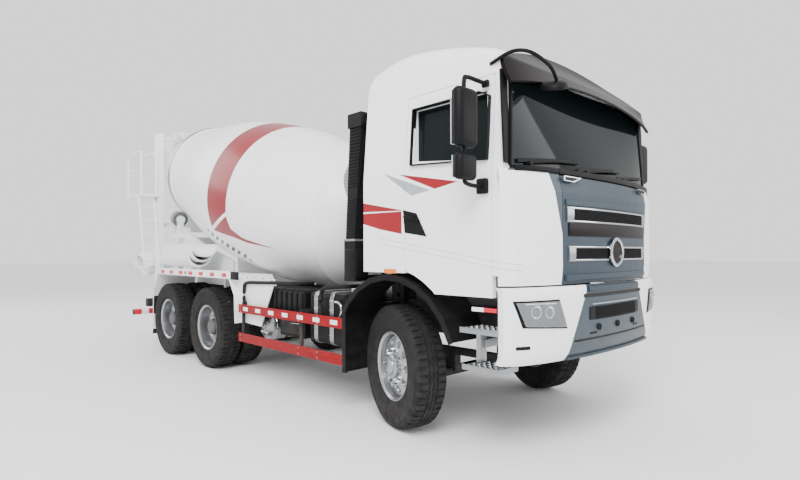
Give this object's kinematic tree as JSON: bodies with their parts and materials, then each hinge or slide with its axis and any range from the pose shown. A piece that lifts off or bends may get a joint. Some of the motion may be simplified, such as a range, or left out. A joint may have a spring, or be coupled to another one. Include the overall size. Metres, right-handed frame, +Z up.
{
  "type": "concrete mixer truck",
  "caption": "White forward-control truck with an inclined mixing drum, rear charging hopper, swivelling discharge chute, red side guards and steered front wheels.",
  "frame": {"origin": "on the ground, under the middle of the truck's bounding box", "axes": "+Z up, +Y towards the rear, so the truck faces -Y; its right side is at -X"},
  "size_m": [3.1, 8.578, 3.7248],
  "materials": {
    "white_paint": "gloss",
    "grille_paint": "gloss",
    "black_plastic": "satin",
    "chassis_paint": "satin",
    "red_paint": "satin",
    "tyre": "matte",
    "cast_iron": "matte",
    "glass": "gloss",
    "interior_trim": "matte",
    "seat_cloth": "matte",
    "steel": "satin"
  },
  "bodies": {
    "chassis": {"air_tank": "steel", "battery_box_left": "black_plastic", "battery_box_right": "black_plastic", "chassis_frame": "chassis_paint", "drive_shaft": "steel", "drum_drive": "chassis_paint", "engine_block": "cast_iron", "front_axle": "chassis_paint", "front_bumper": "white_paint", "front_fender_left": "black_plastic", "front_fender_right": "black_plastic", "fuel_tank_left": "black_plastic", "fuel_tank_right": "black_plastic", "intake_stack": "black_plastic", "ladder_platform": "white_paint", "rear_bogie": "chassis_paint", "rear_fender_left": "white_paint", "rear_fender_right": "white_paint", "rear_frame": "white_paint", "rear_pedestal": "white_paint", "side_guard_left": "red_paint", "side_guard_right": "red_paint", "spare_chutes": "white_paint", "step_left": "steel", "step_right": "steel", "underrun_beam": "chassis_paint", "water_tank": "steel"},
    "cab": {"cab_shell": "white_paint", "cab_roof": "white_paint", "corner_panel_right": "white_paint", "corner_panel_left": "white_paint", "sun_visor": "black_plastic", "windscreen": "glass", "seat_right": "seat_cloth", "seat_left": "seat_cloth", "dashboard": "interior_trim", "steering_wheel": "interior_trim"},
    "hatch": {"front_hatch": "grille_paint"},
    "door_right": {"door_right": "white_paint", "door_glass_right": "glass", "mirror_right": "black_plastic"},
    "door_left": {"door_left": "white_paint", "door_glass_left": "glass", "mirror_left": "black_plastic"},
    "steer_right": {"knuckle_right": "cast_iron"},
    "steer_left": {"knuckle_left": "cast_iron"},
    "wheel_front_right": {"wheel_front_right": "tyre"},
    "wheel_front_left": {"wheel_front_left": "tyre"},
    "wheels_middle_right": {"wheels_middle_right": "tyre"},
    "wheels_middle_left": {"wheels_middle_left": "tyre"},
    "wheels_rear_right": {"wheels_rear_right": "tyre"},
    "wheels_rear_left": {"wheels_rear_left": "tyre"},
    "drum": {"drum": "white_paint"},
    "roller_right": {"drum_roller_right": "steel"},
    "roller_left": {"drum_roller_left": "steel"},
    "hopper": {"hopper": "white_paint"},
    "chute_carrier": {"chute_carrier": "chassis_paint"},
    "chute": {"chute": "white_paint"},
    "chute_extension": {"chute_extension": "white_paint"}
  },
  "joints": [
    {"name": "cab_tilt", "type": "hinge", "parent": "chassis", "child": "cab", "pos_m": [0, -4.215, 1.35], "axis": [1, 0, 0], "range_deg": [0, 50]},
    {"name": "front_hatch_lift", "type": "hinge", "parent": "cab", "child": "hatch", "pos_m": [0, -4.205, 2.09], "axis": [-1, 0, 0], "range_deg": [0, 75]},
    {"name": "door_right_swing", "type": "hinge", "parent": "cab", "child": "door_right", "pos_m": [-1.232, -3.942, 1.98], "axis": [0, 0, 1], "range_deg": [0, 68]},
    {"name": "door_left_swing", "type": "hinge", "parent": "cab", "child": "door_left", "pos_m": [1.232, -3.942, 1.98], "axis": [0, 0, -1], "range_deg": [0, 68]},
    {"name": "steering_right", "type": "hinge", "parent": "chassis", "child": "steer_right", "pos_m": [-0.88, -2.875, 0.53241], "axis": [0, 0, 1], "range_deg": [-18, 52]},
    {"name": "wheel_front_right_spin", "type": "hinge", "parent": "steer_right", "child": "wheel_front_right", "pos_m": [-1.01866, -2.83261, 0.53241], "axis": [0.9563, -0.2924, 0], "continuous": true},
    {"name": "wheels_middle_right_spin", "type": "hinge", "parent": "chassis", "child": "wheels_middle_right", "pos_m": [-0.93, 0.725, 0.53241], "axis": [1, 0, 0], "continuous": true},
    {"name": "wheels_rear_right_spin", "type": "hinge", "parent": "chassis", "child": "wheels_rear_right", "pos_m": [-0.93, 2.075, 0.53241], "axis": [1, 0, 0], "continuous": true},
    {"name": "steering_left", "type": "hinge", "parent": "chassis", "child": "steer_left", "pos_m": [0.88, -2.875, 0.53241], "axis": [0, 0, 1], "range_deg": [-18, 52]},
    {"name": "wheel_front_left_spin", "type": "hinge", "parent": "steer_left", "child": "wheel_front_left", "pos_m": [1.01866, -2.91739, 0.53241], "axis": [0.9563, -0.2924, 0], "continuous": true},
    {"name": "wheels_middle_left_spin", "type": "hinge", "parent": "chassis", "child": "wheels_middle_left", "pos_m": [0.93, 0.725, 0.53241], "axis": [1, 0, 0], "continuous": true},
    {"name": "wheels_rear_left_spin", "type": "hinge", "parent": "chassis", "child": "wheels_rear_left", "pos_m": [0.93, 2.075, 0.53241], "axis": [1, 0, 0], "continuous": true},
    {"name": "drum_spin", "type": "hinge", "parent": "chassis", "child": "drum", "pos_m": [0, -1.155, 1.84], "axis": [0, 0.9703, 0.2419], "continuous": true},
    {"name": "roller_right_spin", "type": "hinge", "parent": "chassis", "child": "roller_right", "pos_m": [-0.61443, 3.18812, 2.11235], "axis": [0, 0.9703, 0.2419], "continuous": true},
    {"name": "roller_left_spin", "type": "hinge", "parent": "chassis", "child": "roller_left", "pos_m": [0.61443, 3.18812, 2.11235], "axis": [0, 0.9703, 0.2419], "continuous": true},
    {"name": "hopper_flip", "type": "hinge", "parent": "chassis", "child": "hopper", "pos_m": [0, 3.625, 3.56], "axis": [1, 0, 0], "range_deg": [0, 60]},
    {"name": "chute_swivel", "type": "hinge", "parent": "chassis", "child": "chute_carrier", "pos_m": [0, 3.915, 1.62], "axis": [0, 0, -1], "range_deg": [0, 180]},
    {"name": "chute_tilt", "type": "hinge", "parent": "chute_carrier", "child": "chute", "pos_m": [0, 3.915, 1.62], "axis": [0, 1, 0], "range_deg": [-12, 13]},
    {"name": "chute_fold", "type": "hinge", "parent": "chute", "child": "chute_extension", "pos_m": [-1.00788, 3.915, 1.32406], "axis": [0, -1, 0], "range_deg": [0, 178]}
  ],
  "couplings": [
    {"joint": "steering_left", "follows": "steering_right", "ratio": 1},
    {"joint": "roller_right_spin", "follows": "drum_spin", "ratio": -6.6538},
    {"joint": "roller_left_spin", "follows": "drum_spin", "ratio": -6.6538}
  ]
}
